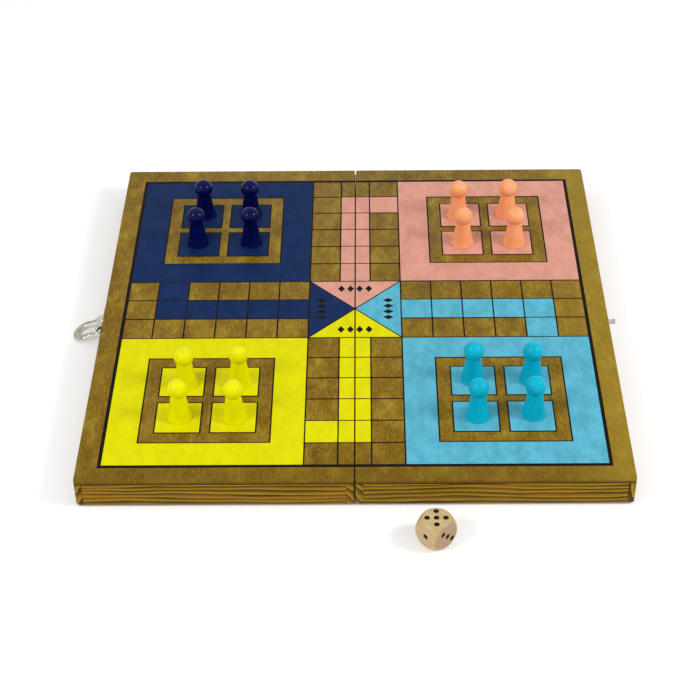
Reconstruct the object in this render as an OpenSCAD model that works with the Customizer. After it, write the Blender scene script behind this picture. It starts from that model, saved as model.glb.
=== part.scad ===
// Folding ludo board that closes into a flat wooden box, with its pawns and die.
// Millimetres. The two halves lie open, printed side up. X runs across the fold, Y runs
// along it to the back, Z is up. The origin is on the fold's hinge axis, level with the
// middle of the print.

/* [Print] */
// Side of one square of the track
cell = 18; // [15:0.5:22]
// Thickness of the printed colour
print_t = 0.1; // [0.05:0.05:0.3]
// Width of the border line
border_w = 2; // [0.8:0.1:2.5]
// Width of the lines between squares
line_w = 0.8; // [0.4:0.1:1.2]
// Coloured band of a yard, from the yard's edge to its bare square
yard_band = 18.5; // [15:0.5:21]
// Side of the square that a pawn starts on
spot = 24.8; // [20:0.4:28]
// Space between two of those squares
spot_gap = 5.4; // [4:0.2:9]
// Width of a diamond in the home triangles
diamond_w = 4.2; // [3:0.2:4.8]
// Length of a diamond
diamond_l = 6.4; // [4:0.2:8]
// Distance between two diamonds
diamond_pitch = 5.4; // [5:0.1:6]
// Distance of the diamonds from the middle of the home square
diamond_out = 19.5; // [17:0.5:20.5]

/* [Box] */
// Bare wood outside the border line, left and right
side_margin = 11.25; // [8:0.25:20]
// Bare wood outside the border line, at the front
front_margin = 10.75; // [8:0.25:20]
// Bare wood outside the border line, at the back
back_margin = 12; // [8:0.25:20]
// Gap between the halves along the fold
fold_gap = 0.8; // [0.4:0.1:1.4]
// Thickness of the plywood panels
panel_t = 2.4; // [1.6:0.1:4]
// Height of the rails under a panel
rail_h = 14; // [13:0.5:24]
// Thickness of the rails
rail_t = 9; // [8.5:0.5:12]
// Thickness of a side rail's rebated end, which covers the end of a cross rail
lip_t = 4; // [3:0.5:6]
// Corner radius of the box, seen from above
corner_r = 2.5; // [1:0.5:3.5]
// Corner radius beside the fold
fold_r = 1; // [0.5:0.1:2]
// Gap between the rims of the halves when the box is shut
rim_gap = 0.3; // [0.1:0.1:0.6]

/* [Hinges] */
// Distance of each hinge from the middle of the fold
hinge_y = 95; // [60:1:115]
// Length of a hinge along the fold
hinge_l = 25; // [20:1:36]
// Width of a leaf, from the hinge axis to its edge
leaf_w = 7.6; // [6.5:0.1:8]
// Thickness of a leaf
leaf_t = 0.9; // [0.6:0.1:1]
// Outer radius of the knuckles
knuckle_r = 1.2; // [1.1:0.05:1.4]
// Radius of the hinge pins
hinge_pin_r = 0.6; // [0.4:0.05:0.7]
// Clearance around a pin in the knuckle that turns on it
pin_play = 0.05; // [0.02:0.01:0.08]
// Space between two knuckles along the pin
knuckle_gap = 0.2; // [0.1:0.05:0.5]
// Clearance of a leaf in its mortise, and of the knuckles in their notch
mortise_play = 0.2; // [0.1:0.05:0.3]
// Distance between the two screws of a leaf
screw_pitch = 15; // [10:0.5:17]
// Distance of the screws from the hinge axis
screw_x = 4.7; // [4.2:0.1:5]
// Radius of a screw's shank
screw_r = 0.9; // [0.6:0.1:1.1]
// Radius of a screw's countersunk head
screw_head_r = 1.7; // [1.5:0.1:2]
// Length of a screw
screw_l = 9; // [6:0.5:11]

/* [Clasp] */
// Place of the clasp and its catch along the sides
clasp_y = -0.6; // [-60:0.2:60]
// Height of the loop's axis above the rim
clasp_h = 6.4; // [6:0.1:6.7]
// Distance of the loop's axis from the side of the box
clasp_out = 3; // [2.8:0.1:3.4]
// Thickness of the clasp's and the catch's sheet metal
plate_t = 0.8; // [0.6:0.1:1]
// Width of the clasp's plate
clasp_w = 13; // [12:0.5:16]
// Height of the clasp's plate above the loop's axis
clasp_up = 8; // [7:0.5:8.5]
// Length of the barrel that holds the loop
barrel_l = 10.4; // [9:0.2:10.6]
// Radius of the loop's rod
rod_r = 1.2; // [0.8:0.1:1.6]
// Clearance around the rod in the barrel
rod_play = 0.06; // [0.03:0.01:0.09]
// Space between the barrel and the loop's arms
loop_play = 0.4; // [0.2:0.1:0.6]
// Length of the loop from its axis to its tip
loop_l = 18.6; // [18:0.1:20]
// Thickness of the loop
loop_t = 1; // [0.8:0.1:1.2]
// Width of the loop at its rod
loop_root_w = 16; // [14.6:0.2:17]
// Width of the loop at its waist
loop_waist_w = 14.4; // [13:0.2:15]
// Radius of the loop's round tip
loop_tip_r = 7.8; // [7:0.1:8.2]
// Width of the hole in the loop
loop_hole_w = 8.4; // [7:0.2:9]
// Length of the hole in the loop, from its axis
loop_hole_l = 14.8; // [14.6:0.1:15.4]

/* [Catch] */
// Height of the catch's tongue above the rim
tongue_h = 6.4; // [5:0.1:6.6]
// Reach of the tongue from the side of the box
tongue_l = 6; // [5:0.1:6.2]
// Width of the tongue
tongue_w = 3.6; // [2.4:0.2:4]
// Height of the turned-up end of the tongue
tongue_hook = 0.5; // [0.3:0.1:0.6]
// Width of the catch's plate
catch_w = 11; // [10:0.5:14]
// Height of the catch's plate
catch_up = 8; // [6:0.5:8.5]
// Radius of the nails' shanks
nail_r = 0.6; // [0.4:0.1:0.8]
// Radius of the nails' heads
nail_head_r = 1.3; // [1:0.1:1.5]
// Length of the nails
nail_l = 6.5; // [4:0.5:8]

/* [Pawns] */
// Radius of a pawn's foot
pawn_r = 6.9; // [5.5:0.1:8]
// Height of the foot's rim
pawn_foot_h = 0.9; // [0.6:0.1:2]
// Radius of the neck
pawn_neck_r = 4.1; // [2.5:0.1:4.5]
// Radius of the head
pawn_head_r = 5.6; // [4.6:0.1:6]
// Height of the middle of the head
pawn_head_z = 19.8; // [17:0.1:24]

/* [Die] */
// Side of the die
die_side = 16; // [14:0.5:20]
// Radius of the sphere that rounds the die's corners
die_round_r = 10.7; // [10.3:0.1:12]
// Radius of a pip
pip_r = 1.5; // [0.8:0.1:1.6]
// Distance of the outer pips from the middle of a face
pip_out = 3.4; // [3:0.1:3.8]
// Depth of a pip
pip_depth = 0.5; // [0.3:0.1:0.8]
// Distance of the die to the right of the fold
die_x = 41.8; // [-120:0.2:120]
// Distance of the die in front of the box
die_front = 25.5; // [16:0.5:60]

/* [Hidden] */
cells = 15;
yard_cells = 6;
lane_cells = 5;
home_cells = 3;
half_cells = cells / 2;
home_half = home_cells / 2;
round_fn = 48;
pawn_steps = 8;
pawn_curve = 1.4;
pawn_foot_step = 0.2;
nail_head_h = 0.6;
nail_edge = 0.8;
catch_drop = 5;
ear_l = 1;
slot_w = 0.5;
slot_depth = 0.4;
tongue_t = 0.9;
cut = 1;

print_half = half_cells * cell;
x_out = print_half + border_w / 2 + side_margin;
x_fold = fold_gap / 2;
y_front = -print_half - border_w / 2 - front_margin;
y_back = print_half + border_w / 2 + back_margin;
depth = y_back - y_front;
rim_z = rim_gap / 2;
panel_z = rim_z + rail_h;
top_z = panel_z + panel_t;
table_z = -knuckle_r;
stand_z = top_z + print_t;

knuckle_l = (hinge_l - 2 * knuckle_gap) / 3;
barrel_r = clasp_out - plate_t / 2;
axis_z = rim_z + clasp_h;
tip_drop = axis_z - table_z;
loop_tilt = asin(tip_drop / norm([loop_l, loop_t / 2])) - atan(loop_t / 2 / loop_l);

clasp_nail_pitch = clasp_w - 2 * (nail_head_r + nail_edge);
clasp_nail_z = clasp_h + clasp_up - nail_head_r - nail_edge;
catch_nail_pitch = catch_w - 2 * (nail_head_r + nail_edge);
catch_low = tongue_h - catch_drop;
catch_nail_z = catch_low + nail_head_r + nail_edge;

yard_mid = print_half - yard_cells * cell / 2;
spot_off = (spot + spot_gap) / 2;
bare_half = yard_cells * cell / 2 - yard_band;
COLOURS = ["blue", "pink", "yellow", "cyan"];
YARD_SIDE = [[-1, 1], [1, 1], [-1, -1], [1, -1]];
SPOT_SIDE = [[-1, 1], [1, 1], [-1, -1], [1, -1]];
// How far each pawn stands from the middle of its square, in the order of the squares
PAWN_OFF = [
    [[1.5, 2], [0.2, 1.4], [-1, 1.7], [1.8, 1.8]],
    [[-1.5, -0.8], [-0.8, 0.5], [0.1, 0.2], [1.6, 0.1]],
    [[2, -1.6], [1.8, -0.3], [0.8, 1.1], [0.5, 0.3]],
    [[-0.2, 1.6], [2.1, 1], [0.8, 0.4], [1.2, 2]]];
DIE_FACES = [
    [5, [0, 0, 0]], [2, [180, 0, 0]], [1, [0, -90, 0]],
    [6, [0, 90, 0]], [3, [90, 0, 0]], [4, [-90, 0, 0]]];

// Children are written for the right half and mirrored for the left
module half(side) {
    if (side > 0) children();
    else mirror([1, 0, 0]) children();
}

// The box's outline from above, right half
module footprint() {
    translate([x_fold + fold_r, y_front]) square([x_out - corner_r - x_fold - fold_r, depth]);
    translate([x_fold, y_front + fold_r]) square([fold_r + cut, depth - 2 * fold_r]);
    translate([x_out - corner_r - cut, y_front + corner_r])
        square([corner_r + cut, depth - 2 * corner_r]);
    for (y = [y_front, y_back]) {
        inward = y < 0 ? 1 : -1;
        translate([x_fold + fold_r, y + inward * fold_r]) circle(fold_r, $fn = round_fn);
        translate([x_out - corner_r, y + inward * corner_r]) circle(corner_r, $fn = round_fn);
    }
}

module panel(side) {
    color("darkkhaki") half(side)
        translate([0, 0, panel_z]) linear_extrude(panel_t) footprint();
}

// Box from one corner to another, kept inside the outline
module rail_block(low, high) {
    intersection() {
        translate([0, 0, rim_z]) linear_extrude(rail_h) footprint();
        translate([low.x, low.y, rim_z - cut])
            cube([high.x - low.x, high.y - low.y, rail_h + 2 * cut]);
    }
}

module front_rail(side) {
    color("peru") half(side)
        rail_block([x_fold + lip_t, y_front - cut], [x_out - lip_t, y_front + rail_t]);
}

module back_rail(side) {
    color("peru") half(side)
        rail_block([x_fold + lip_t, y_back - rail_t], [x_out - lip_t, y_back + cut]);
}

module outer_rail(side) {
    pitch = side < 0 ? clasp_nail_pitch : catch_nail_pitch;
    height = side < 0 ? clasp_nail_z : catch_nail_z;
    color("burlywood") half(side) difference() {
        union() {
            rail_block([x_out - lip_t, y_front - cut], [x_out + cut, y_back + cut]);
            rail_block([x_out - rail_t, y_front + rail_t], [x_out, y_back - rail_t]);
        }
        translate([x_out, clasp_y, rim_z]) nail_holes(pitch, height);
    }
}

module spine_rail(side) {
    color("burlywood") half(side) difference() {
        union() {
            rail_block([x_fold - cut, y_front - cut], [x_fold + lip_t, y_back + cut]);
            rail_block([x_fold, y_front + rail_t], [x_fold + rail_t, y_back - rail_t]);
        }
        at_hinges() {
            along_fold(hinge_l + 2 * mortise_play)
                cylinder(h = hinge_l + 2 * mortise_play, r = knuckle_r + mortise_play, $fn = round_fn);
            translate([-cut, -hinge_l / 2 - mortise_play, rim_z - cut])
                cube([cut + leaf_w + mortise_play, hinge_l + 2 * mortise_play, leaf_t + cut]);
            at_screws() cylinder(h = screw_l, r = screw_r, $fn = round_fn);
        }
    }
}

module at_hinges() {
    for (s = [-1, 1]) translate([0, s * hinge_y, 0]) children();
}

// Turns an upright piece of the given length to lie along the fold, centred
module along_fold(length) {
    translate([0, length / 2, 0]) rotate([90, 0, 0]) children();
}

module at_screws() {
    for (s = [-1, 1]) translate([screw_x, s * screw_pitch / 2, rim_z]) children();
}

// One leaf with its knuckles; the middle knuckle belongs to the right leaf
module leaf(right) {
    bore_r = right ? hinge_pin_r + pin_play : hinge_pin_r;
    places = right ? [0] : [-1, 1];
    clear_x = knuckle_r + mortise_play;
    difference() {
        union() {
            translate([clear_x, -hinge_l / 2, rim_z]) cube([leaf_w - clear_x, hinge_l, leaf_t]);
            for (p = places) translate([0, p * (knuckle_l + knuckle_gap), 0]) {
                translate([0, -knuckle_l / 2, rim_z]) cube([clear_x + cut, knuckle_l, leaf_t]);
                along_fold(knuckle_l) cylinder(h = knuckle_l, r = knuckle_r, $fn = round_fn);
            }
        }
        along_fold(hinge_l + 2 * cut) cylinder(h = hinge_l + 2 * cut, r = bore_r, $fn = round_fn);
        at_screws() screw_body();
    }
}

module left_hinge_leaves() {
    color("goldenrod") half(-1) at_hinges() leaf(false);
}

module right_hinge_leaves() {
    color("goldenrod") half(1) at_hinges() leaf(true);
}

module hinge_pins() {
    color("silver") at_hinges() along_fold(hinge_l)
        cylinder(h = hinge_l, r = hinge_pin_r, $fn = round_fn);
}

// Countersunk screw, head down in the leaf, pointing up into the rail
module screw_body() {
    cylinder(h = screw_l, r = screw_r, $fn = round_fn);
    cylinder(h = leaf_t, r1 = screw_head_r, r2 = screw_r, $fn = round_fn);
}

module hinge_screws(side) {
    color("gold") half(side) at_hinges() difference() {
        at_screws() screw_body();
        at_screws() translate([-screw_head_r - cut, -slot_w / 2, -cut])
            cube([2 * (screw_head_r + cut), slot_w, slot_depth + cut]);
    }
}

// Puts the clasp or the catch on the outer side of a half: X points out, Z is 0 at the rim
module on_side(side) {
    half(side) translate([x_out, clasp_y, rim_z]) children();
}

// Two nails side by side, heads on the sheet metal
module nails(pitch, z) {
    for (s = [-1, 1]) translate([plate_t, s * pitch / 2, z]) rotate([0, 90, 0]) {
        cylinder(h = nail_head_h, r1 = nail_head_r, r2 = nail_r, $fn = round_fn);
        translate([0, 0, -nail_l]) cylinder(h = nail_l + nail_head_h / 2, r = nail_r, $fn = round_fn);
    }
}

module nail_holes(pitch, z) {
    for (s = [-1, 1]) translate([plate_t - nail_l, s * pitch / 2, z]) rotate([0, 90, 0])
        cylinder(h = nail_l + cut, r = nail_r, $fn = round_fn);
}

module clasp_plate() {
    color("lightgray") on_side(-1) difference() {
        union() {
            translate([0, -clasp_w / 2, clasp_h - rod_r]) cube([plate_t, clasp_w, clasp_up + rod_r]);
            translate([clasp_out, 0, clasp_h]) along_fold(barrel_l)
                cylinder(h = barrel_l, r = barrel_r, $fn = round_fn);
        }
        translate([clasp_out, 0, clasp_h]) along_fold(barrel_l + 2 * cut)
            cylinder(h = barrel_l + 2 * cut, r = rod_r + rod_play, $fn = round_fn);
        nail_holes(clasp_nail_pitch, clasp_nail_z);
    }
}

module clasp_nails() {
    color("silver") on_side(-1) nails(clasp_nail_pitch, clasp_nail_z);
}

// The loop's outline, seen from above with its rod on the Y axis
module loop_outline() {
    tip_x = loop_l - loop_tip_r;
    hole_r = loop_hole_w / 2;
    hole_x = loop_hole_l - hole_r;
    root = loop_root_w / 2;
    waist = loop_waist_w / 2;
    inner_root = barrel_l / 2 + loop_play;
    waist_x = (clasp_out + tip_x) / 2;
    ear_x = barrel_r + ear_l;
    difference() {
        union() {
            translate([tip_x, 0]) circle(loop_tip_r, $fn = 2 * round_fn);
            polygon([
                [-rod_r, -root], [ear_x, -root], [waist_x, -waist], [tip_x, -loop_tip_r],
                [tip_x, loop_tip_r], [waist_x, waist], [ear_x, root], [-rod_r, root]]);
        }
        translate([hole_x, 0]) circle(hole_r, $fn = 2 * round_fn);
        polygon([
            [-rod_r - cut, -inner_root], [ear_x, -inner_root], [ear_x + ear_l, -hole_r],
            [hole_x, -hole_r], [hole_x, hole_r], [ear_x + ear_l, hole_r],
            [ear_x, inner_root], [-rod_r - cut, inner_root]]);
    }
}

module clasp_loop() {
    color("gainsboro") on_side(-1) translate([clasp_out, 0, clasp_h]) rotate([0, loop_tilt, 0]) {
        translate([0, 0, -loop_t / 2]) linear_extrude(loop_t) loop_outline();
        along_fold(loop_root_w) cylinder(h = loop_root_w, r = rod_r, $fn = round_fn);
    }
}

module catch_plate() {
    color("lightgray") on_side(1) difference() {
        union() {
            translate([0, -catch_w / 2, catch_low]) cube([plate_t, catch_w, catch_up]);
            translate([0, 0, tongue_h - tongue_t / 2]) linear_extrude(tongue_t) tongue_outline();
            translate([0, 0, tongue_h]) intersection() {
                linear_extrude(tongue_t / 2 + tongue_hook) tongue_outline();
                translate([tongue_l - plate_t, -tongue_w, 0]) cube([plate_t, 2 * tongue_w, tongue_w]);
            }
        }
        nail_holes(catch_nail_pitch, catch_nail_z);
    }
}

module tongue_outline() {
    tongue_r = tongue_w / 2;
    translate([0, -tongue_r]) square([tongue_l - tongue_r, tongue_w]);
    translate([tongue_l - tongue_r, 0]) circle(tongue_r, $fn = round_fn);
}

module catch_nails() {
    color("silver") on_side(1) nails(catch_nail_pitch, catch_nail_z);
}

// Square frame of lines around the middle, its line centred on the given half side
module line_frame(half_side, width) {
    difference() {
        square(2 * half_side + width, center = true);
        square(2 * half_side - width, center = true);
    }
}

// Straight line between two points
module line(a, b, width) {
    d = b - a;
    translate(a) rotate(atan2(d.y, d.x)) translate([0, -width / 2]) square([norm(d), width]);
}

// Turns a child drawn for the back arm of the track to all four arms
module each_arm() {
    for (turn = [0:3]) rotate(90 * turn) children();
}

module track_lines() {
    arm = home_half * cell;
    each_arm() {
        for (x = [-arm, -cell / 2, cell / 2, arm])
            line([x, arm], [x, print_half], line_w);
        for (row = [0:yard_cells - 1])
            line([-arm, arm + row * cell], [arm, arm + row * cell], line_w);
    }
    for (turn = [45, 135]) rotate(turn)
        line([-arm * sqrt(2), 0], [arm * sqrt(2), 0], line_w);
}

module yard_lines() {
    for (s = YARD_SIDE) translate(s * yard_mid) {
        line_frame(bare_half, line_w);
        for (p = SPOT_SIDE) translate(p * spot_off) line_frame(spot / 2, line_w);
    }
}

module diamonds() {
    each_arm() for (place = [-1.5:1:1.5])
        translate([place * diamond_pitch, diamond_out])
            polygon([[-diamond_w / 2, 0], [0, -diamond_l / 2], [diamond_w / 2, 0], [0, diamond_l / 2]]);
}

// Keeps what lies on one half's panel, and gives it the thickness of the print
module printed(side) {
    translate([0, 0, top_z]) linear_extrude(print_t) intersection() {
        children();
        half(side) translate([x_fold, -print_half - border_w])
            square([print_half + border_w, 2 * (print_half + border_w)]);
    }
}

module print_lines(side) {
    color("black") printed(side) {
        line_frame(print_half, border_w);
        track_lines();
        yard_lines();
        diamonds();
    }
}

// Coloured fields, drawn where the yard lies back left: its band, its four squares,
// the start square, the lane and the home triangle beside it
module field_shapes() {
    yard_half = yard_cells * cell / 2;
    inset = line_w / 2;
    edge = border_w / 2;
    arm = home_half * cell;
    difference() {
        translate([-print_half + edge, print_half - 2 * yard_half + inset])
            square(2 * yard_half - edge - inset);
        translate([-yard_mid, yard_mid]) square(2 * bare_half + line_w, center = true);
    }
    for (p = SPOT_SIDE) translate([-yard_mid, yard_mid] + p * spot_off)
        square(spot - line_w, center = true);
    translate([-print_half + cell + inset, cell / 2 + inset]) square(cell - line_w);
    for (n = [1:lane_cells]) translate([-print_half + n * cell + inset, -cell / 2 + inset])
        square(cell - line_w);
    difference() {
        polygon([
            [-arm + inset, -arm + inset + inset * sqrt(2)], [-arm + inset, arm - inset - inset * sqrt(2)],
            [-inset * sqrt(2), 0]]);
        diamonds();
    }
}

// Fields of one colour: each is the back left one turned to its place
module fields(colour, side) {
    turn = [0, -90, 90, 180][search([colour], COLOURS)[0]];
    printed(side) rotate(turn) field_shapes();
}

module pawn_body() {
    taper = [for (i = [0:pawn_steps])
        let (s = i / pawn_steps, rise = pawn_head_z - pawn_head_r / 2 - pawn_foot_h)
        [pawn_neck_r + (pawn_r - pawn_foot_step - pawn_neck_r) * pow(1 - s, pawn_curve),
            pawn_foot_h + s * rise]];
    cylinder(h = pawn_foot_h, r = pawn_r, $fn = 2 * round_fn);
    rotate_extrude($fn = 2 * round_fn) polygon(concat([[0, 0]], taper, [[0, taper[pawn_steps].y]]));
    translate([0, 0, pawn_head_z]) sphere(pawn_head_r, $fn = 2 * round_fn);
}

module pawn(colour, number) {
    yard = search([colour], COLOURS)[0];
    place = YARD_SIDE[yard] * yard_mid + SPOT_SIDE[number - 1] * spot_off + PAWN_OFF[yard][number - 1];
    tint = [[0.05, 0.07, 0.35], [0.88, 0.52, 0.42], [0.9, 0.86, 0.1], [0.1, 0.62, 0.76]][yard];
    color(tint) translate([place.x, place.y, stand_z]) pawn_body();
}

function corner_pips() = [[-1, 1], [1, 1], [-1, -1], [1, -1]];
function pip_places(n) =
    n == 1 ? [[0, 0]] :
    n == 2 ? [[-1, 1], [1, -1]] :
    n == 3 ? [[-1, 1], [0, 0], [1, -1]] :
    n == 4 ? corner_pips() :
    n == 5 ? concat(corner_pips(), [[0, 0]]) :
    concat(corner_pips(), [[-1, 0], [1, 0]]);

module at_die() {
    translate([die_x, y_front - die_front, table_z + die_side / 2]) rotate(45) children();
}

// Discs at all the pips, their outer ends the given distance beyond the die's faces
module pip_discs(beyond) {
    for (face = DIE_FACES) rotate(face[1]) for (p = pip_places(face[0]))
        translate([p.x * pip_out, p.y * pip_out, die_side / 2 - pip_depth])
            cylinder(h = pip_depth + beyond, r = pip_r, $fn = round_fn);
}

module die() {
    color("burlywood") at_die() difference() {
        intersection() {
            cube(die_side, center = true);
            sphere(die_round_r, $fn = 2 * round_fn);
        }
        pip_discs(cut);
    }
}

module die_pips() {
    color("black") at_die() intersection() {
        pip_discs(0);
        sphere(die_round_r, $fn = 2 * round_fn);
    }
}

panel(-1);  // left_panel
front_rail(-1);  // left_front_rail
back_rail(-1);  // left_back_rail
outer_rail(-1);  // left_outer_rail
spine_rail(-1);  // left_spine_rail
panel(1);  // right_panel
front_rail(1);  // right_front_rail
back_rail(1);  // right_back_rail
outer_rail(1);  // right_outer_rail
spine_rail(1);  // right_spine_rail
color("midnightblue") fields("blue", -1);  // left_print_blue
color("darksalmon") fields("pink", -1);  // left_print_pink
color("yellow") fields("yellow", -1);  // left_print_yellow
print_lines(-1);  // left_print_lines
color("darksalmon") fields("pink", 1);  // right_print_pink
color("skyblue") fields("cyan", 1);  // right_print_cyan
color("yellow") fields("yellow", 1);  // right_print_yellow
print_lines(1);  // right_print_lines
left_hinge_leaves();
right_hinge_leaves();
hinge_pins();
hinge_screws(-1);  // left_hinge_screws
hinge_screws(1);  // right_hinge_screws
clasp_plate();
clasp_nails();
clasp_loop();
catch_plate();
catch_nails();
for (colour = COLOURS, number = [1:4])
    pawn(colour, number);
die();
die_pips();
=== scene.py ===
# Folding ludo board box: shapes and finishes of the visible pieces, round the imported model.
# Lengths in the dictionaries are millimetres and turns are degrees; Blender works in metres.

import math

import bmesh
import bpy
from mathutils import Matrix, Vector


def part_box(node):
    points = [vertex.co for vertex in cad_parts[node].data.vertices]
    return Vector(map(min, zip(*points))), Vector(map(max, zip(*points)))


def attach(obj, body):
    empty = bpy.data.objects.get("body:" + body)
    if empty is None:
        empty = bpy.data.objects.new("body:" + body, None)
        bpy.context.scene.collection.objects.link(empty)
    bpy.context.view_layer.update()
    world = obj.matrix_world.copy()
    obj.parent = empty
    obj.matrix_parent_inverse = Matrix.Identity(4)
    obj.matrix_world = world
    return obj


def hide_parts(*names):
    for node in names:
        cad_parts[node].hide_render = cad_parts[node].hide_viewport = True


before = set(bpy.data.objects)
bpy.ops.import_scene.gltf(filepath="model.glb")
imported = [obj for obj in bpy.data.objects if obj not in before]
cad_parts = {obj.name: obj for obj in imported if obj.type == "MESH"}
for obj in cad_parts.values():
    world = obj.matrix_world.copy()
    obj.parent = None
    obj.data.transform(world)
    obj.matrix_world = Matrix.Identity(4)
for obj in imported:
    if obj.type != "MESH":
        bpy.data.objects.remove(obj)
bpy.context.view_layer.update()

mm = 0.001
touch = 0.02  # how near a point has to lie to count as on a plane or a line
spare = 1.0  # how far a cutting piece reaches past the surface
print("frame loaded")


# Small helpers for modelling

def boxOf(node):
    low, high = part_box(node)
    return Vector(low) / mm, Vector(high) / mm


def deselect():
    if bpy.context.mode != "OBJECT":
        bpy.ops.object.mode_set(mode="OBJECT")
    bpy.ops.object.select_all(action="DESELECT")


def activate(piece):
    deselect()
    piece.select_set(True)
    bpy.context.view_layer.objects.active = piece


def applyPlace(piece):
    activate(piece)
    bpy.ops.object.transform_apply(location=True, rotation=True, scale=True)


def startCube(name, corner, opposite):
    deselect()
    middle = [(a + b) / 2 * mm for a, b in zip(corner, opposite)]
    bpy.ops.mesh.primitive_cube_add(size=1, location=middle)
    piece = bpy.context.object
    piece.name = piece.data.name = name
    piece.scale = [abs(b - a) * mm for a, b in zip(corner, opposite)]
    applyPlace(piece)
    return piece


def startRod(name, radius, start, end, sides=32):
    # Cylinder between two points
    deselect()
    a, b = Vector(start) * mm, Vector(end) * mm
    bpy.ops.mesh.primitive_cylinder_add(vertices=sides, radius=radius * mm, depth=(b - a).length)
    piece = bpy.context.object
    piece.name = piece.data.name = name
    turn = (b - a).to_track_quat("Z", "Y").to_matrix().to_4x4()
    piece.matrix_world = Matrix.Translation((a + b) / 2) @ turn
    applyPlace(piece)
    return piece


def edit(piece):
    activate(piece)
    bpy.ops.object.mode_set(mode="EDIT")


def endEdit():
    bpy.ops.object.mode_set(mode="OBJECT")


def pick(piece, kind, test):
    # Selects the faces, edges or points whose corners, in millimetres, all pass the test
    bpy.ops.mesh.select_mode(type=kind)
    bpy.ops.mesh.select_all(action="DESELECT")
    mesh = bmesh.from_edit_mesh(piece.data)
    items = {"FACE": mesh.faces, "EDGE": mesh.edges, "VERT": mesh.verts}[kind]
    for item in items:
        points = [item] if kind == "VERT" else item.verts
        item.select_set(all(test(point.co / mm) for point in points))
    mesh.select_flush_mode()
    bmesh.update_edit_mesh(piece.data)


def on(**places):
    # A test for points at the given x, y or z
    return lambda point: all(abs(getattr(point, axis) - value) < touch for axis, value in places.items())


def pull(x=0, y=0, z=0):
    # Extrudes what is picked
    bpy.ops.mesh.extrude_region_move(TRANSFORM_OT_translate={"value": (x * mm, y * mm, z * mm)})


def splitAt(place, normal):
    # Cuts a loop of edges right round the piece
    bpy.ops.mesh.select_all(action="SELECT")
    bpy.ops.mesh.bisect(plane_co=Vector(place) * mm, plane_no=normal)


def roundEdges(piece, test, radius, segments):
    pick(piece, "EDGE", test)
    bpy.ops.mesh.bevel(offset=radius * mm, segments=segments, affect="EDGES")


def useModifier(piece, kind, **settings):
    activate(piece)
    modifier = piece.modifiers.new(kind.title(), kind)
    for name, value in settings.items():
        setattr(modifier, name, value)
    bpy.ops.object.modifier_apply(modifier=modifier.name)


def soften(piece, width, angle, segments=2):
    # Bevels every edge that turns by more than the angle
    useModifier(piece, "BEVEL", width=width * mm, segments=segments, limit_method="ANGLE",
                angle_limit=math.radians(angle))


def combine(piece, operation, *others):
    # Boolean with other pieces, which are used up
    for other in others:
        useModifier(piece, "BOOLEAN", object=other, operation=operation, solver="EXACT")
        bpy.data.objects.remove(other)


def join(name, first, *others):
    activate(first)
    for other in others:
        other.select_set(True)
    bpy.ops.object.join()
    first.name = first.data.name = name
    return first


def copyOf(piece, name, offset):
    twin = piece.copy()
    twin.data = piece.data.copy()
    twin.name = twin.data.name = name
    bpy.context.scene.collection.objects.link(twin)
    twin.data.transform(Matrix.Translation(Vector(offset) * mm))
    return twin


def dress(piece, material):
    piece.data.materials.clear()
    piece.data.materials.append(material)


def finishPiece(piece, material, body, node, angle=35):
    # Edges that turn by less than the angle are shaded smooth
    activate(piece)
    bpy.ops.object.shade_smooth_by_angle(angle=math.radians(angle))
    dress(piece, material)
    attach(piece, body)
    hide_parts(node)


# Materials

def hexColour(code):
    # Hex sRGB to linear
    parts = [int(code[i:i + 2], 16) / 255 for i in (1, 3, 5)]
    return [p / 12.92 if p <= 0.04045 else ((p + 0.055) / 1.055) ** 2.4 for p in parts] + [1]


def addNode(material, kind, inputs=(), stops=(), **settings):
    # One node with its settings; an input is a value, a colour in hex or another node's socket
    tree = material.node_tree
    node = tree.nodes.new("ShaderNode" + kind)
    for name, value in settings.items():
        setattr(node, name, value)
    for socket, value in dict(inputs).items():
        if isinstance(value, bpy.types.NodeSocket):
            tree.links.new(value, node.inputs[socket])
        else:
            node.inputs[socket].default_value = hexColour(value) if isinstance(value, str) else value
    if stops:
        ramp = node.color_ramp.elements
        ramp[0].position, ramp[1].position = stops[0][0], stops[-1][0]
        for stop in stops[1:-1]:
            ramp.new(stop[0])
        for element, stop in zip(ramp, stops):
            element.color = hexColour(stop[1])
    return node


def startMaterial(name, **surface):
    # A Principled material with its constants set, and Object coordinates in millimetres
    material = bpy.data.materials.new(name)
    material.use_nodes = True
    shader = material.node_tree.nodes["Principled BSDF"]
    for socket, value in surface.items():
        shader.inputs[socket.replace("_", " ")].default_value = value
    place = addNode(material, "TexCoord").outputs["Object"]
    place = addNode(material, "Mapping", {"Vector": place, "Scale": [1 / mm] * 3}).outputs["Vector"]
    return material, shader, place


def makeMarks(material, place, size, detail=3, offset=(0, 0, 0), rough=0.5):
    # Noise whose marks are about the given size along X, Y and Z
    stretch = [1 / length for length in size]
    moved = addNode(material, "Mapping", {"Vector": place, "Scale": stretch, "Location": offset})
    return addNode(material, "TexNoise", {
        "Vector": moved.outputs["Vector"], "Scale": 1, "Detail": detail,
        "Roughness": rough}).outputs["Fac"]


def overlay(material, tone, pattern, reach, share, colour, mask=None):
    # Lays a colour over the tone: none where the pattern starts its reach, the share where it ends
    amount = addNode(material, "MapRange", {
        "Value": pattern, "From Min": reach[0], "From Max": reach[1], "To Max": share}).outputs["Result"]
    if mask:
        amount = addNode(material, "Math", {0: amount, 1: mask}, operation="MULTIPLY").outputs["Value"]
    return addNode(material, "Mix", {0: amount, 6: tone, 7: colour}, data_type="RGBA").outputs[2]


def layMarks(material, place, tone, reach, share, colour, **marks):
    # Marks of their own colour over the tone; their pattern is handed back for bump or roughness
    pattern = makeMarks(material, place, **marks)
    return overlay(material, tone, pattern, reach, share, colour), pattern


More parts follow.
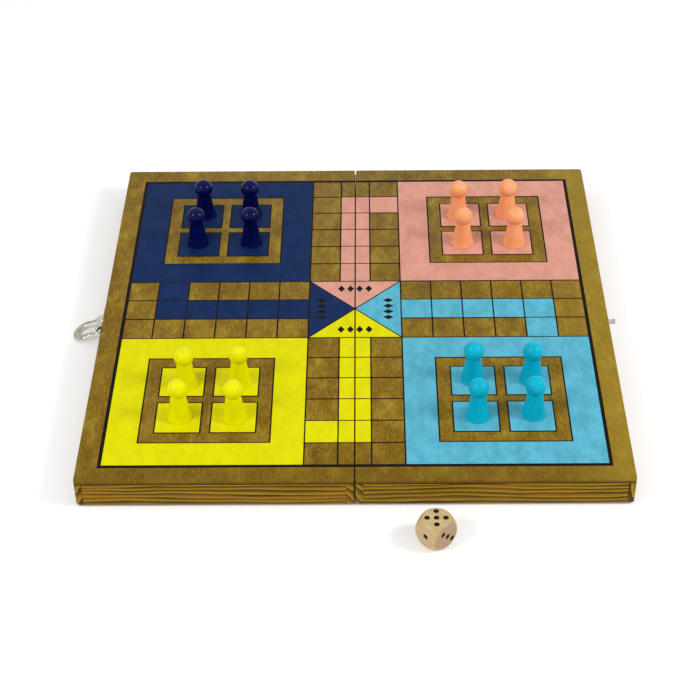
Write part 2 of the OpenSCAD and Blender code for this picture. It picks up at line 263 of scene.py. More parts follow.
def fromMiddle(material, place, axis):
    # Distance from the middle along one axis
    part = addNode(material, "SeparateXYZ", {"Vector": place}).outputs[axis]
    return addNode(material, "Math", {0: part}, operation="ABSOLUTE").outputs["Value"]


def linkSurface(material, shader, tone, height, depth, strength):
    links = material.node_tree.links
    links.new(tone, shader.inputs["Base Color"])
    bump = addNode(material, "Bump", {"Height": height, "Distance": depth * mm, "Strength": strength})
    links.new(bump.outputs["Normal"], shader.inputs["Normal"])


def varyRoughness(material, shader, pattern, least, most, reach=(0.3, 0.7)):
    # Roughness that follows a pattern between two values
    rough = addNode(material, "MapRange", {
        "Value": pattern, "From Min": reach[0], "From Max": reach[1], "To Min": least, "To Max": most})
    material.node_tree.links.new(rough.outputs["Result"], shader.inputs["Roughness"])


plyFinish = {
    "dark": "#62470a", "middle": "#7f6312", "light": "#ab902c", "stops": (0.3, 0.5, 0.74),
    "gloss": 0.1, "leastRough": 0.38, "mostRough": 0.55, "bumpDepth": 0.04, "bump": 0.5,
    "blotch": {"size": (9, 16.2, 30), "detail": 5, "rough": 0.6},
    "brown": {"size": (13, 16, 30), "detail": 4, "offset": (3, 8, 1),
              "reach": (0.45, 0.7), "share": 0.7, "colour": "#7b5610"},
    "fleck": {"size": (0.9, 2.0, 3), "detail": 5, "offset": (7, 3, 0), "rough": 0.7,
              "reach": (0.49, 0.65), "share": 0.62, "colour": "#ab902c"},
    "fibre": {"size": (0.6, 6, 3), "detail": 2, "reach": (0.42, 0.7), "share": 0.45, "colour": "#62470a"},
    "vessel": {"size": (0.35, 5, 2), "detail": 1, "offset": (2, 9, 0),
               "reach": (0.62, 0.75), "share": 0.5, "colour": "#4c3808"},
    # The front entry is painted shade towards the front edge, standing for the varnish's sheen at the back
    "front": {"reach": (-112, -140), "share": 0.42, "colour": "#62470a"},
    "right": {"reach": (110, 140), "share": 0.35, "colour": "#ab902c"},
    "plies": "#563808", "pliesShare": 0.75, "pliesStart": 0.3, "pliesEnd": 0.9,
    # The near-black band is a painted shadow in the groove over the rails
    "grooveShadow": "#281604", "grooveShadowStart": 0.7, "grooveShadowEnd": 0.3, "underside": 0.1}


def makePlyStain(name):
    # Birch plywood, rotary cut, stained olive brown and varnished: mottled, with short
    # fibres along Y that catch a little light, and its plies showing at the edge
    look = plyFinish
    material, shader, place = startMaterial(name, IOR=1.5, Specular_IOR_Level=look["gloss"])
    blotch = makeMarks(material, place, **look["blotch"])
    stops = list(zip(look["stops"], (look["dark"], look["middle"], look["light"])))
    tone = addNode(material, "ValToRGB", {"Fac": blotch}, stops=stops).outputs["Color"]
    tone = layMarks(material, place, tone, **look["brown"])[0]
    tone, fleck = layMarks(material, place, tone, **look["fleck"])
    tone, fibre = layMarks(material, place, tone, **look["fibre"])
    tone, vessel = layMarks(material, place, tone, **look["vessel"])
    # Darker towards the front edge, a painted shade that stands for the varnish's sheen lighting the back,
    # and lighter towards the right edge
    axes = addNode(material, "SeparateXYZ", {"Vector": place}).outputs
    tone = overlay(material, tone, axes["Y"], **look["front"])
    tone = overlay(material, tone, axes["X"], **look["right"])
    # Darker plies at the edge, and a painted shadow along the foot of the edge where the panel meets the
    # rails, but not on the underside
    low, high = boxOf("left_panel")
    rim = addNode(material, "MapRange", {
        "Value": axes["Z"], "From Min": low.z, "From Max": low.z + look["underside"]}).outputs["Result"]
    plies = (high.z - look["pliesStart"], low.z + look["pliesEnd"])
    tone = overlay(material, tone, axes["Z"], plies, look["pliesShare"], look["plies"], rim)
    grooveShadow = (low.z + look["grooveShadowStart"], low.z + look["grooveShadowEnd"])
    tone = overlay(material, tone, axes["Z"], grooveShadow, 1, look["grooveShadow"], rim)
    height = addNode(material, "Math", {0: fibre, 1: vessel}, operation="SUBTRACT").outputs["Value"]
    linkSurface(material, shader, tone, height, look["bumpDepth"], look["bump"])
    varyRoughness(material, shader, fleck, look["leastRough"], look["mostRough"])
    return material


pineFinish = {
    "early": "#b29222", "middle": "#86650a", "late": "#4c3202", "stops": (0.0, 0.4, 0.75, 0.93, 1.0),
    "roughness": 0.42, "gloss": 0.1, "bumpDepth": 0.05, "bump": 0.4, "ringPitch": 2.8,
    "ragged": 0.6, "raggedScale": 0.3, "wander": 8.0, "wanderLong": 80, "wanderWide": 12,
    "patchLong": 60, "patchWide": 7, "fibreLong": 14, "fibreWide": 0.25,
    "patch": {"offset": (4, 1, 8), "reach": (0.45, 0.7), "share": 0.55, "colour": "#a26e10"},
    "betweenPatches": {"reach": (0.5, 0.3), "share": 0.3, "colour": "#4c3202"},
    "fibre": {"detail": 2, "reach": (0.45, 0.75), "share": 0.3, "colour": "#4c3202"}}


def makePineStain(name, grain, heart, pitch=1.0):
    # Sawn and sanded pine, stained: growth rings run along the grain as bands 3 to 5 mm
    # apart, light early wood and thin dark late wood, and show as arcs on the ends.
    # heart brings the middle of the tree to the origin, and pitch widens the rings
    look = pineFinish

    def alongGrain(length, width):
        return [length if axis == grain else width for axis in "XYZ"]

    material, shader, place = startMaterial(
        name, IOR=1.5, Roughness=look["roughness"], Specular_IOR_Level=look["gloss"])
    # The rings wander a little, so no band is straight
    stretch = [1 / length for length in alongGrain(look["wanderLong"], look["wanderWide"])]
    sway = addNode(material, "Mapping", {"Vector": place, "Scale": stretch})
    sway = addNode(material, "TexNoise", {"Vector": sway.outputs["Vector"], "Scale": 1, "Detail": 2})
    sway = addNode(material, "VectorMath", {
        0: sway.outputs["Color"], 1: (0.5, 0.5, 0.5)}, operation="SUBTRACT")
    sway = addNode(material, "VectorMath", {
        0: sway.outputs["Vector"], 1: [look["wander"]] * 3, 2: place}, operation="MULTIPLY_ADD")
    centred = addNode(material, "Mapping", {"Vector": sway.outputs["Vector"], "Location": heart})
    ringScale = 2 * math.pi / 20 / (look["ringPitch"] * pitch)  # a wave of scale 1 repeats every pi / 10
    rings = addNode(material, "TexWave", {
        "Vector": centred.outputs["Vector"], "Scale": ringScale, "Distortion": look["ragged"],
        "Detail": 2, "Detail Scale": look["raggedScale"]},
        wave_type="RINGS", rings_direction=grain, wave_profile="SAW").outputs["Fac"]
    colours = (look["early"], look["middle"], look["late"], look["late"], look["early"])
    stops = list(zip(look["stops"], colours))
    tone = addNode(material, "ValToRGB", {"Fac": rings}, stops=stops).outputs["Color"]
    size = alongGrain(look["patchLong"], look["patchWide"])
    tone, patch = layMarks(material, place, tone, size=size, **look["patch"])
    tone = overlay(material, tone, patch, **look["betweenPatches"])
    size = alongGrain(look["fibreLong"], look["fibreWide"])
    tone, fibre = layMarks(material, place, tone, size=size, **look["fibre"])
    height = addNode(material, "Math", {0: rings, 1: fibre}, operation="ADD").outputs["Value"]
    linkSurface(material, shader, tone, height, look["bumpDepth"], look["bump"])
    return material


inkFinish = {
    "gloss": 0.05, "rougher": 0.08, "bumpDepth": 0.02, "bump": 0.5,
    "cloud": {"size": (7, 12, 9), "detail": 5, "rough": 0.65, "reach": (0.4, 0.62), "share": 1},
    "fibre": {"size": (0.7, 7, 3), "detail": 2, "reach": (0.5, 0.8), "share": 0.5}}


def makeInk(name, colour, shade, rough=0.38):
    # Screen-printed ink on the varnished panel: flat and even, faintly mottled where the
    # fibres show through, with a slight gloss
    look = inkFinish
    material, shader, place = startMaterial(name, IOR=1.5, Specular_IOR_Level=look["gloss"])
    tone, cloud = layMarks(material, place, colour, colour=shade, **look["cloud"])
    tone, fibre = layMarks(material, place, tone, colour=shade, **look["fibre"])
    linkSurface(material, shader, tone, fibre, look["bumpDepth"], look["bump"])
    varyRoughness(material, shader, cloud, rough, rough + look["rougher"])
    return material


plasticFinish = {
    "gloss": 0.08, "leastRough": 0.1, "mostRough": 0.17, "bumpDepth": 0.01, "bump": 0.15,
    "flow": {"size": (5, 5, 14), "detail": 2, "reach": (0.4, 0.65), "share": 1},
    "skin": {"size": (0.8, 0.8, 0.8), "detail": 1}}


def makePlastic(name, colour, shade):
    # Injection-moulded polystyrene: strong even colour, high gloss, a trace of flow in it
    look = plasticFinish
    material, shader, place = startMaterial(name, IOR=1.59, Specular_IOR_Level=look["gloss"])
    tone, flow = layMarks(material, place, colour, colour=shade, **look["flow"])
    skin = makeMarks(material, place, **look["skin"])
    linkSurface(material, shader, tone, skin, look["bumpDepth"], look["bump"])
    varyRoughness(material, shader, flow, look["leastRough"], look["mostRough"])
    return material


metalFinish = {
    "smoother": 0.06, "rougher": 0.1, "roughReach": (0.35, 0.65), "bumpDepth": 0.01,
    "cloud": {"size": (2.5, 2.5, 2.5), "detail": 4, "reach": (0.42, 0.7), "share": 1},
    "scratches": {"size": (0.12, 1.4, 0.9), "detail": 2},
    "paintedHighlightNearBox": {"reach": (156, 152), "share": 0.6}}


def makeMetal(name, colour, shade, rough, scratched, paintedHighlight=None):
    # Sheet metal, tumbled and plated or left bare: shiny, with a satin spread and short fine
    # scratches. Where a highlight colour is given, what lies close to the box gets a painted highlight,
    # lighter than the rest
    look = metalFinish
    material, shader, place = startMaterial(name, Metallic=1.0, Roughness=rough)
    tone, cloud = layMarks(material, place, colour, colour=shade, **look["cloud"])
    if paintedHighlight:
        # Painted highlight: the plates and barrel close to the box are painted lighter than the loop
        out = fromMiddle(material, place, "X")
        tone = overlay(material, tone, out, colour=paintedHighlight, **look["paintedHighlightNearBox"])
    scratches = makeMarks(material, place, **look["scratches"])
    linkSurface(material, shader, tone, scratches, look["bumpDepth"], scratched)
    least, most = rough - look["smoother"], rough + look["rougher"]
    varyRoughness(material, shader, cloud, least, most, look["roughReach"])
    return material


dieTurn = 45  # how far the die is turned on the table
beechFinish = {
    "pale": "#cab182", "roughness": 0.33, "gloss": 0.3, "bumpDepth": 0.03, "bump": 0.3,
    "bands": {"size": (1.6, 30, 3.2), "detail": 3, "reach": (0.35, 0.68), "share": 1, "colour": "#bc9e6f"},
    "pores": {"size": (0.3, 3.2, 0.5), "detail": 1, "offset": (5, 5, 1),
              "reach": (0.6, 0.74), "share": 0.35, "colour": "#a58259"},
    "ends": {"reach": (6.2, 7.9), "share": 0.7, "colour": "#9c7c62"}}


def makeBeech(name):
    # Tumbled beech, lightly waxed: pale, with short darker pores and a slow change of tone;
    # the two faces across the grain drink more wax and look browner
    look = beechFinish
    material, shader, place = startMaterial(
        name, IOR=1.5, Roughness=look["roughness"], Specular_IOR_Level=look["gloss"])
    low, high = boxOf("die")
    turn = math.radians(-dieTurn)
    middle = Matrix.Rotation(turn, 3, "Z") @ ((low + high) / 2)
    place = addNode(material, "Mapping", {
        "Vector": place, "Rotation": (0, 0, turn), "Location": -middle}).outputs["Vector"]
    tone = layMarks(material, place, look["pale"], **look["bands"])[0]
    tone, pores = layMarks(material, place, tone, **look["pores"])
    tone = overlay(material, tone, fromMiddle(material, place, "Y"), **look["ends"])
    linkSurface(material, shader, tone, pores, look["bumpDepth"], look["bump"])
    return material


plyStain = makePlyStain("stainedBirchPlywood")
pineAcross = {
    "front": makePineStain("stainedPineFrontRail", "X", heart=(0, 142, 11)),
    "back": makePineStain("stainedPineBackRail", "X", heart=(0, -143, 9))}
pineSides = {
    "left": makePineStain("stainedPineSideLeft", "Y", heart=(62, 0, 50), pitch=1.6),
    "right": makePineStain("stainedPineSideRight", "Y", heart=(54, 0, 46), pitch=1.8)}
inks = {
    "blue": makeInk("screenInkBlue", "#112b57", "#0e254e"),
    "pink": makeInk("screenInkPink", "#da9d8b", "#cd907e"),
    "yellow": makeInk("screenInkYellow", "#dfda00", "#d5cf00"),
    "cyan": makeInk("screenInkLightBlue", "#5eb5cd", "#50a3b9"),
    "lines": makeInk("screenInkBlack", "#0c0806", "#1a120c")}
plastics = {
    "blue": makePlastic("mouldedPolystyreneBlue", "#02094a", "#01073c"),
    "pink": makePlastic("mouldedPolystyreneSalmon", "#fcaa78", "#f69e6a"),
    "yellow": makePlastic("mouldedPolystyreneYellow", "#e9e500", "#dfdb00"),
    "cyan": makePlastic("mouldedPolystyreneTurquoise", "#06b2ce", "#04a7c3")}
nickel = makeMetal("nickelPlatedSteel", "#aeab97", "#8f8c78", rough=0.16, scratched=0.5, paintedHighlight="#d4d2c6")
brass = makeMetal("pressedBrass", "#c9a04a", "#b28b3c", rough=0.3, scratched=0.4)
steel = makeMetal("drawnSteelPin", "#a4a4a2", "#8c8c8a", rough=0.3, scratched=0.3)
beech = makeBeech("tumbledBeech")
pipPaint = makeInk("pipPaint", "#1d1612", "#2b2019", rough=0.45)
print("materials made")


# Wooden box

boxShape = {
    "cornerRound": 1.8, "cornerSteps": 8, "foldRound": 1.0, "foldSteps": 5, "panelEdge": 0.9,
    "foldEdge": 0.25, "underEdge": 0.4, "railEdge": 0.35, "foldLean": 0.34, "lip": 4.0, "railThick": 9.0,
    "hingePlace": 95.0, "hingeLong": 25.4, "leafWide": 7.8, "leafDeep": 1.05, "knuckleRound": 1.4}


def makePanel(half):
    shape = boxShape
    low, high = boxOf(half + "_panel")
    outer, fold = (low.x, high.x) if half == "left" else (high.x, low.x)
    piece = startCube(half + "Panel", low, high)
    edit(piece)
    for y in (low.y, high.y):
        roundEdges(piece, on(x=outer, y=y), shape["cornerRound"], shape["cornerSteps"])
        roundEdges(piece, on(x=fold, y=y), shape["foldRound"], shape["foldSteps"])
    endEdit()
    # Bevel weights: full round the top, small along its fold, less than half underneath
    weights = piece.data.attributes.new("bevel_weight_edge", "FLOAT", "EDGE")
    for edge in piece.data.edges:
        points = [piece.data.vertices[i].co / mm for i in edge.vertices]
        width = 0
        if all(on(z=low.z)(point) for point in points):
            width = shape["underEdge"]
        elif all(on(z=high.z)(point) for point in points):
            atFold = all(abs(point.x - fold) < shape["foldRound"] + touch for point in points)
            width = shape["foldEdge"] if atFold else shape["panelEdge"]
        weights.data[edge.index].value = width / shape["panelEdge"]
    useModifier(piece, "BEVEL", width=shape["panelEdge"] * mm, segments=5, limit_method="WEIGHT")
    finishPiece(piece, plyStain, half + "_half", half + "_panel")


def makeCrossRail(half, end):
    node = half + "_" + end + "_rail"
    low, high = boxOf(node)
    piece = startCube(half + end.title() + "Rail", low, high)
    edit(piece)
    roundEdges(piece, on(y=low.y if end == "front" else high.y), boxShape["railEdge"], segments=3)
    endEdit()
    finishPiece(piece, pineAcross[end], half + "_half", node)


def makeSideRail(half, kind):
    # A rail along Y whose ends are rebated to a lip that covers the cross rails
    shape = boxShape
    node = half + "_" + kind + "_rail"
    low, high = boxOf(node)
    toward = -1 if half == "left" else 1
    outward = toward if kind == "outer" else -toward
    outer = high.x if outward > 0 else low.x
    inner = outer - outward * shape["lip"]
    piece = startCube(half + kind.title() + "Rail", (inner, low.y, low.z), (outer, high.y, high.z))
    edit(piece)
    front, back = low.y + shape["railThick"], high.y - shape["railThick"]
    for y in (front, back):
        splitAt((0, y, 0), (0, 1, 0))
    pick(piece, "FACE", lambda point: on(x=inner)(point) and front - touch < point.y < back + touch)
    pull(x=-outward * (shape["railThick"] - shape["lip"]))
    end = "corner" if kind == "outer" else "fold"
    for y in (low.y, high.y):
        roundEdges(piece, on(x=outer, y=y), shape[end + "Round"], shape[end + "Steps"])
    if kind == "spine":
        # The fold runs nearly shut towards the back
        mesh = bmesh.from_edit_mesh(piece.data)
        for point in mesh.verts:
            if abs(point.co.x / mm - outer) < shape["foldRound"] + touch:
                share = (point.co.y / mm - low.y) / (high.y - low.y)
                point.co.x += outward * shape["foldLean"] * share * mm
        bmesh.update_edit_mesh(piece.data)
    endEdit()
    soften(piece, shape["railEdge"], angle=40)
    if kind == "spine":
        # Room for each hinge's leaf and knuckles
        for middle in (-shape["hingePlace"], shape["hingePlace"]):
            start, end = middle - shape["hingeLong"] / 2, middle + shape["hingeLong"] / 2
            mortise = startCube("mortise", (-toward * spare, start, -spare),
                                (toward * shape["leafWide"], end, shape["leafDeep"]))
            notch = startRod("notch", shape["knuckleRound"], (0, start, 0), (0, end, 0))
            combine(piece, "DIFFERENCE", mortise, notch)
    finishPiece(piece, pineSides[half], half + "_half", node)


for half in ("left", "right"):
    makePanel(half)
    for end in ("front", "back"):
        makeCrossRail(half, end)
    for kind in ("outer", "spine"):
        makeSideRail(half, kind)
print("wooden box made")

for name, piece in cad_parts.items():
    for colour, ink in inks.items():
        if name.endswith("_print_" + colour):
            dress(piece, ink)
for name in ("left_hinge_leaves", "right_hinge_leaves", "left_hinge_screws", "right_hinge_screws"):
    dress(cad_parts[name], brass)
dress(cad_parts["hinge_pins"], steel)
print("print and hinges dressed")


# Clasp and catch

claspShape = {
    "y": -0.6, "sheet": 0.8, "sheetEdge": 0.15, "wide": 13.0, "top": 14.55, "cornerRound": 1.2,
    "neckHigh": 8.6, "neckLong": 0.7, "barrelLong": 10.4, "curlMiddle": 2.9, "curlTurn": 310,
    "curlSteps": 26, "axisHigh": 6.55, "axisOut": 3.0, "rod": 1.2, "rodLong": 16.0, "rodEdge": 0.35,
    "tipPlace": 10.8, "tipRing": 5.95, "tipThick": 1.85, "loopHigh": 1.0, "tilt": 23.07,
    # From the tip back to the rod: distance from the rod, half the loop's width, half an arm's width
    "arm": ((8.8, 5.8, 1.68), (7.4, 5.7, 1.54), (6.0, 5.75, 1.44), (4.8, 6.1, 1.32), (3.8, 6.6, 1.22),
            (2.8, 6.76, 1.18), (0.0, 6.78, 1.15))}


def turnPicked(piece, angle, centre):
    # Turns what is picked about a line along Y through the centre
    mesh = bmesh.from_edit_mesh(piece.data)
    away, home = Matrix.Translation(-Vector(centre)), Matrix.Translation(centre)
    turn = home @ Matrix.Rotation(angle, 4, "Y") @ away
    for point in mesh.verts:
        if point.select:
            point.co = turn @ point.co
    bmesh.update_edit_mesh(piece.data)


def makeClaspPlate():
    # Sheet plate, narrowed at the foot, whose foot is curled outwards round the loop's rod
    shape = claspShape
    side = boxOf("left_outer_rail")[0].x
    y, half = shape["y"], shape["wide"] / 2
    piece = startCube("claspPlate", (side - shape["sheet"], y - half, shape["neckHigh"]),
                      (side, y + half, shape["top"]))
    edit(piece)
    for edge in (y - half, y + half):
        roundEdges(piece, on(y=edge, z=shape["top"]), shape["cornerRound"], segments=5)
    pick(piece, "FACE", on(z=shape["neckHigh"]))
    pull(z=-shape["neckLong"])
    bpy.ops.transform.resize(value=(1, shape["barrelLong"] / shape["wide"], 1),
                             center_override=(side * mm, y * mm, 0))
    pull(z=shape["axisHigh"] - shape["neckHigh"] + shape["neckLong"])
    turn = math.radians(shape["curlTurn"] / shape["curlSteps"])
    centre = ((side - shape["curlMiddle"]) * mm, y * mm, shape["axisHigh"] * mm)
    for step in range(shape["curlSteps"]):
        pull()
        turnPicked(piece, turn, centre)
    endEdit()
    soften(piece, shape["sheetEdge"], angle=50)
    finishPiece(piece, nickel, "left_half", "clasp_plate", angle=30)


def makeClaspLoop():
    # Ring with two arms; drawn flat with its rod on the Y axis, then tilted onto the table
    shape = claspShape
    tip, rodEnd = shape["tipPlace"], shape["rodLong"] / 2
    deselect()
    bpy.ops.mesh.primitive_torus_add(
        location=(tip * mm, 0, 0), major_segments=64, minor_segments=16,
        major_radius=shape["tipRing"] * mm, minor_radius=shape["tipThick"] * mm)
    piece = bpy.context.object
    piece.name = piece.data.name = "claspLoop"
    applyPlace(piece)
    edit(piece)
    bpy.ops.mesh.select_all(action="SELECT")
    bpy.ops.transform.resize(value=(1, 1, shape["loopHigh"] / 2 / shape["tipThick"]))
    pick(piece, "VERT", lambda point: point.x < tip - touch)
    bpy.ops.mesh.delete(type="VERT")
    for sideways in (-1, 1):
        place, wide, thick = tip, shape["tipRing"], shape["tipThick"]
        pick(piece, "VERT", lambda point: on(x=tip)(point) and point.y * sideways > 0)
        bpy.ops.mesh.select_mode(type="EDGE")
        for nextPlace, nextWide, nextThick in shape["arm"]:
            pull(nextPlace - place, sideways * (nextWide - wide))
            bpy.ops.transform.resize(
                value=(1, nextThick / thick, 1),
                center_override=(nextPlace * mm, sideways * nextWide * mm, 0))
            place, wide, thick = nextPlace, nextWide, nextThick
        bpy.ops.mesh.edge_face_add()
    bpy.ops.mesh.select_all(action="SELECT")
    bpy.ops.mesh.normals_make_consistent(inside=False)
    endEdit()
    rod = startRod("rod", shape["rod"], (0, -rodEnd, 0), (0, rodEnd, 0))
    soften(rod, shape["rodEdge"], angle=60, segments=3)
    combine(piece, "UNION", rod)
    side = boxOf("left_outer_rail")[0].x
    axis = Vector((side - shape["axisOut"], shape["y"], shape["axisHigh"])) * mm
    piece.matrix_world = (Matrix.Translation(axis) @ Matrix.Rotation(math.pi, 4, "Z")
                          @ Matrix.Rotation(math.radians(shape["tilt"]), 4, "Y"))
    applyPlace(piece)
    finishPiece(piece, nickel, "clasp_loop", "clasp_loop", angle=50)


catchShape = {
    "wide": 11.0, "low": 1.55, "high": 9.55, "cornerRound": 1.4, "rooted": 0.2, "tongueHigh": 6.55,
    "tongueThick": 0.9, "tongueWide": 3.6, "tongueLong": 6.0, "tongueRound": 0.75, "tongueEdge": 0.18,
    "hook": 0.5}


def makeCatch():
    # Plate with a tongue pressed out of it, its end turned up
    shape = catchShape
    side, y, sheet = boxOf("right_outer_rail")[1].x, claspShape["y"], claspShape["sheet"]
    half = shape["wide"] / 2
    piece = startCube("catchPlate", (side, y - half, shape["low"]), (side + sheet, y + half, shape["high"]))
    edit(piece)
    for edge in (y - half, y + half):
        for level in (shape["low"], shape["high"]):
            roundEdges(piece, on(y=edge, z=level), shape["cornerRound"], segments=5)
    tongueHalf, tip = shape["tongueWide"] / 2, side + shape["tongueLong"]
    under = shape["tongueHigh"] - shape["tongueThick"] / 2
    top = shape["tongueHigh"] + shape["tongueThick"] / 2
    tongue = startCube("tongue", (side + shape["rooted"], y - tongueHalf, under), (tip, y + tongueHalf, top))
    edit(tongue)
    splitAt((tip - sheet, 0, 0), (1, 0, 0))
    pick(tongue, "FACE", lambda point: on(z=top)(point) and point.x > tip - sheet - touch)
    pull(z=shape["hook"])
    for edge in (y - tongueHalf, y + tongueHalf):
        roundEdges(tongue, on(x=tip, y=edge), shape["tongueRound"], segments=5)
    endEdit()
    soften(tongue, shape["tongueEdge"], angle=50)
    soften(piece, claspShape["sheetEdge"], angle=50)
    combine(piece, "UNION", tongue)
    finishPiece(piece, nickel, "right_half", "catch_plate", angle=30)


nailShape = {"head": 1.3, "headHigh": 0.6, "dome": 0.55, "shank": 0.6, "long": 6.5, "rooted": 0.2}


def makeNails(node, body):
    # Two nails with low domed heads, driven level through the plate
    shape = nailShape
    low, high = boxOf(node)
    outward = -1 if body == "left_half" else 1
    crown = low.x if outward < 0 else high.x
    face = crown - outward * shape["headHigh"]
    z = (low.z + high.z) / 2
    nails = []
    for y in (low.y + shape["head"], high.y - shape["head"]):
        nail = startRod("nail", shape["head"], (face, y, z), (crown, y, z))
        edit(nail)
        roundEdges(nail, on(x=crown), shape["dome"], segments=4)
        endEdit()
        shank = startRod("shank", shape["shank"], (face - outward * shape["long"], y, z),
                         (face + outward * shape["rooted"], y, z), sides=24)
        combine(nail, "UNION", shank)
        nails.append(nail)
    piece = join(node.split("_")[0] + "Nails", *nails)
    finishPiece(piece, nickel, body, node, angle=40)


makeClaspPlate()
makeClaspLoop()
makeCatch()
makeNails("clasp_nails", "left_half")
makeNails("catch_nails", "right_half")
print("clasp and catch made")


# Pawns

pawnShape = {
    "foot": 6.9, "footHigh": 0.9, "footStep": 0.2, "neck": 4.1, "crease": 3.98, "creaseHigh": 0.08,
    "curve": 1.4, "head": 5.6, "headHigh": 19.8, "around": 64, "flankSteps": 12, "headSteps": 16,
    # Points of the foot's rim: how far in from the foot's radius, how high
    "rim": ((0.25, 0), (0.07, 0.07), (0, 0.25), (0, 0.62), (0.06, 0.8))}


def pawnProfile():
    # Radius and height of each ring: rim, hollow flank, crease under the head, ball
    shape = pawnShape
    meet = shape["headHigh"] - math.sqrt(shape["head"] ** 2 - shape["crease"] ** 2)
    rise = shape["headHigh"] - shape["head"] / 2 - shape["footHigh"]
    shoulder = shape["foot"] - shape["footStep"]
    points = [(shape["foot"] - inward, high) for inward, high in shape["rim"]]
    points.append((shoulder, shape["footHigh"]))
    for i in range(1, shape["flankSteps"] + 1):
        share = i / shape["flankSteps"] * (meet - shape["footHigh"]) / rise
        wide = shape["neck"] + (shoulder - shape["neck"]) * (1 - share) ** shape["curve"]
        points.append((wide, shape["footHigh"] + share * rise))
    points[-1] = (points[-1][0], points[-1][1] - shape["creaseHigh"])
    points.append((shape["crease"], meet))
    start = -math.acos(shape["crease"] / shape["head"])
    for i in range(1, shape["headSteps"]):
        angle = start + (math.pi / 2 - start) * i / shape["headSteps"]
        points.append((shape["head"] * math.cos(angle), shape["headHigh"] + shape["head"] * math.sin(angle)))
    return points


def makePawnModel():
    # Turned shape: a disc is extruded and scaled ring by ring from foot to crown
    shape = pawnShape
    points = pawnProfile()
    deselect()
    bpy.ops.mesh.primitive_circle_add(vertices=shape["around"], radius=points[0][0] * mm, fill_type="NGON")
    piece = bpy.context.object
    piece.name = piece.data.name = "pawnModel"
    edit(piece)
    bpy.ops.mesh.select_mode(type="FACE")
    bpy.ops.mesh.select_all(action="SELECT")
    for (wide, high), (nextWide, nextHigh) in zip(points, points[1:]):
        pull(z=nextHigh - high)
        scale = nextWide / wide
        bpy.ops.transform.resize(value=(scale, scale, 1), center_override=(0, 0, nextHigh * mm))
    bpy.ops.mesh.poke(offset=(shape["headHigh"] + shape["head"] - points[-1][1]) * mm)
    bpy.ops.mesh.select_all(action="SELECT")
    bpy.ops.mesh.normals_make_consistent(inside=False)
    endEdit()
    return piece


pawnModel = makePawnModel()
for colour in ("blue", "pink", "yellow", "cyan"):
    for number in range(1, 5):
        node = f"pawn_{colour}_{number}"
        low, high = boxOf(node)
        spot = ((low.x + high.x) / 2, (low.y + high.y) / 2, low.z)
        pawn = copyOf(pawnModel, f"pawn{colour.title()}{number}", spot)
        finishPiece(pawn, plastics[colour], node, node, angle=38)
bpy.data.objects.remove(pawnModel)
print("pawns made")


# Die

dieShape = {
    "side": 16.0, "round": 10.7, "soft": 0.35, "pip": 1.5, "pipOut": 3.4, "pipDeep": 0.5,
    "paintDeep": 0.12, "paintInside": 0.02}
pipPlaces = {
    1: [(0, 0)], 2: [(-1, 1), (1, -1)], 3: [(-1, 1), (0, 0), (1, -1)],
    4: [(-1, 1), (1, 1), (-1, -1), (1, -1)], 5: [(-1, 1), (1, 1), (-1, -1), (1, -1), (0, 0)],
    6: [(-1, 1), (1, 1), (-1, -1), (1, -1), (-1, 0), (1, 0)]}
# The turns about X and Y that bring the top to the face with that many pips
faceTurns = {5: (0, 0), 2: (180, 0), 1: (0, -90), 6: (0, 90), 3: (90, 0), 4: (-90, 0)}


def pipDiscs(name, radius, bottom, top):
    # A disc for every pip, between two levels over the face
    shape = dieShape
    discs = []
    for count, (aboutX, aboutY) in faceTurns.items():
        spin = (Matrix.Rotation(math.radians(aboutY), 4, "Y")
                @ Matrix.Rotation(math.radians(aboutX), 4, "X"))
        for across, up in pipPlaces[count]:
            ends = [spin @ Vector((across * shape["pipOut"], up * shape["pipOut"], shape["side"] / 2 + level))
                    for level in (bottom, top)]
            discs.append(startRod("pip", radius, *ends))
    return join(name, *discs)


def makeDie():
    # Cube tumbled until its corners are round, with drilled and painted pips
    shape = dieShape
    half = shape["side"] / 2
    piece = startCube("dieBody", (-half, -half, -half), (half, half, half))
    deselect()
    bpy.ops.mesh.primitive_uv_sphere_add(segments=96, ring_count=48, radius=shape["round"] * mm)
    combine(piece, "INTERSECT", bpy.context.object)
    soften(piece, shape["soft"], angle=20, segments=3)
    combine(piece, "DIFFERENCE", pipDiscs("holes", shape["pip"], -shape["pipDeep"], spare))
    paint = pipDiscs("diePips", shape["pip"] - shape["paintInside"], -shape["pipDeep"], -shape["paintDeep"])
    low, high = boxOf("die")
    middle = Matrix.Translation((low + high) / 2 * mm)
    for thing in (piece, paint):
        thing.matrix_world = middle @ Matrix.Rotation(math.radians(dieTurn), 4, "Z")
        applyPlace(thing)
    finishPiece(piece, beech, "die", "die", angle=30)
    finishPiece(paint, pipPaint, "die", "die_pips", angle=30)


makeDie()
print("die made")


# Floor, light and camera

stageLook = {
    "floor": "#f6f6f6", "floorWide": 8000, "floorGlow": 0.14, "footprint": 146, "blur": 1, "sky": 0.66,
    "lampWide": 340, "lampFar": 1300,
    # Each lamp's direction from the board and its strength
    "lampLeft": ((-0.635, -0.45, 0.628), 5.0), "lampRight": ((0.757, -0.205, 0.619), 7.0)}


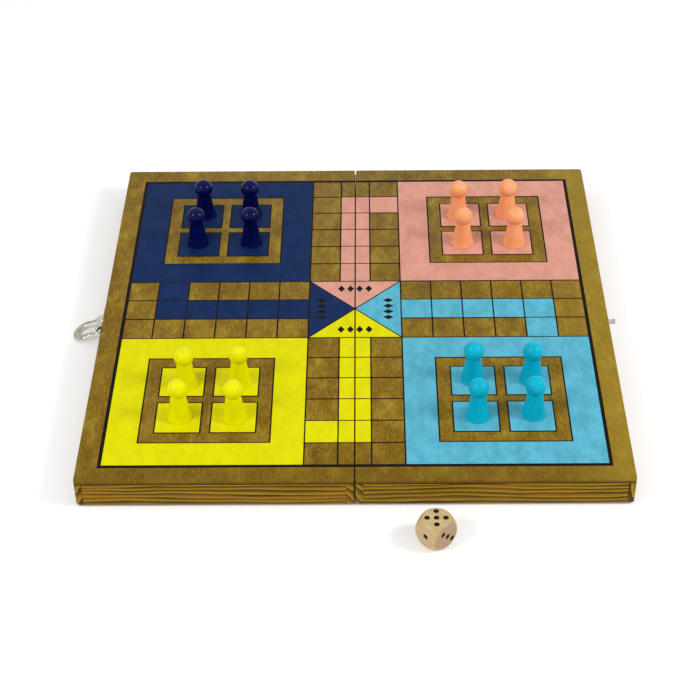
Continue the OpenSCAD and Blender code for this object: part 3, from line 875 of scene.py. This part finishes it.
def makeFloor():
    look = stageLook
    deselect()
    level = boxOf("left_hinge_leaves")[0].z
    bpy.ops.mesh.primitive_plane_add(size=look["floorWide"] * mm, location=(0, 0, level * mm))
    floor = bpy.context.object
    floor.name = "floor"
    applyPlace(floor)
    material, shader, place = startMaterial("paleFloor", IOR=1.5, Roughness=0.9)
    shader.inputs["Base Color"].default_value = hexColour(look["floor"])
    shader.inputs["Emission Color"].default_value = hexColour("#ffffff")
    # The floor glows a little for the camera alone, and not under the box, so the fold stays dark
    far = addNode(material, "Math", {
        0: fromMiddle(material, place, "X"), 1: fromMiddle(material, place, "Y")}, operation="MAXIMUM")
    glow = addNode(material, "MapRange", {
        "Value": far.outputs["Value"], "From Min": look["footprint"] - look["blur"],
        "From Max": look["footprint"] + look["blur"], "To Max": look["floorGlow"]})
    ray = addNode(material, "LightPath").outputs["Is Camera Ray"]
    glow = addNode(material, "Math", {0: glow.outputs["Result"], 1: ray}, operation="MULTIPLY")
    material.node_tree.links.new(glow.outputs["Value"], shader.inputs["Emission Strength"])
    dress(floor, material)


def makeLight():
    look = stageLook
    scene = bpy.context.scene
    world = bpy.data.worlds.new("plainStudio")
    scene.world = world
    world.use_nodes = True
    world.node_tree.nodes.clear()
    # White where the camera looks, also by way of metal or glass; the sky's level as light
    ray = addNode(world, "LightPath").outputs
    seen = ray["Is Camera Ray"]
    for kind in ("Is Glossy Ray", "Is Transmission Ray"):
        seen = addNode(world, "Math", {0: seen, 1: ray[kind]}, operation="MAXIMUM").outputs["Value"]
    level = addNode(world, "MapRange", {"Value": seen, "To Min": look["sky"]}).outputs["Result"]
    back = addNode(world, "Background", {"Color": "#ffffff", "Strength": level}).outputs["Background"]
    addNode(world, "OutputWorld", {"Surface": back})
    for name in ("lampLeft", "lampRight"):
        way, strength = look[name]
        way = Vector(way).normalized()
        lamp = bpy.data.lights.new(name, "AREA")
        lamp.shape, lamp.size, lamp.energy = "SQUARE", look["lampWide"] * mm, strength
        holder = bpy.data.objects.new(name, lamp)
        scene.collection.objects.link(holder)
        holder.location = way * (look["lampFar"] * mm)
        holder.rotation_euler = (-way).to_track_quat("-Z", "Y").to_euler()


cameraPlace = {
    "location": (6.458, -800.557, 634.796), "turn": (50.9543, 0.5855, 0.2236), "lens": 88.56, "sensor": 36}


def makeCamera():
    place = cameraPlace
    camera = bpy.data.cameras.new("camera")
    camera.lens, camera.sensor_width = place["lens"], place["sensor"]
    holder = bpy.data.objects.new("camera", camera)
    bpy.context.scene.collection.objects.link(holder)
    holder.location = Vector(place["location"]) * mm
    holder.rotation_euler = [math.radians(angle) for angle in place["turn"]]
    bpy.context.scene.camera = holder


makeFloor()
makeLight()
makeCamera()
bpy.context.scene.view_settings.view_transform = "Standard"
print("floor, light and camera set")
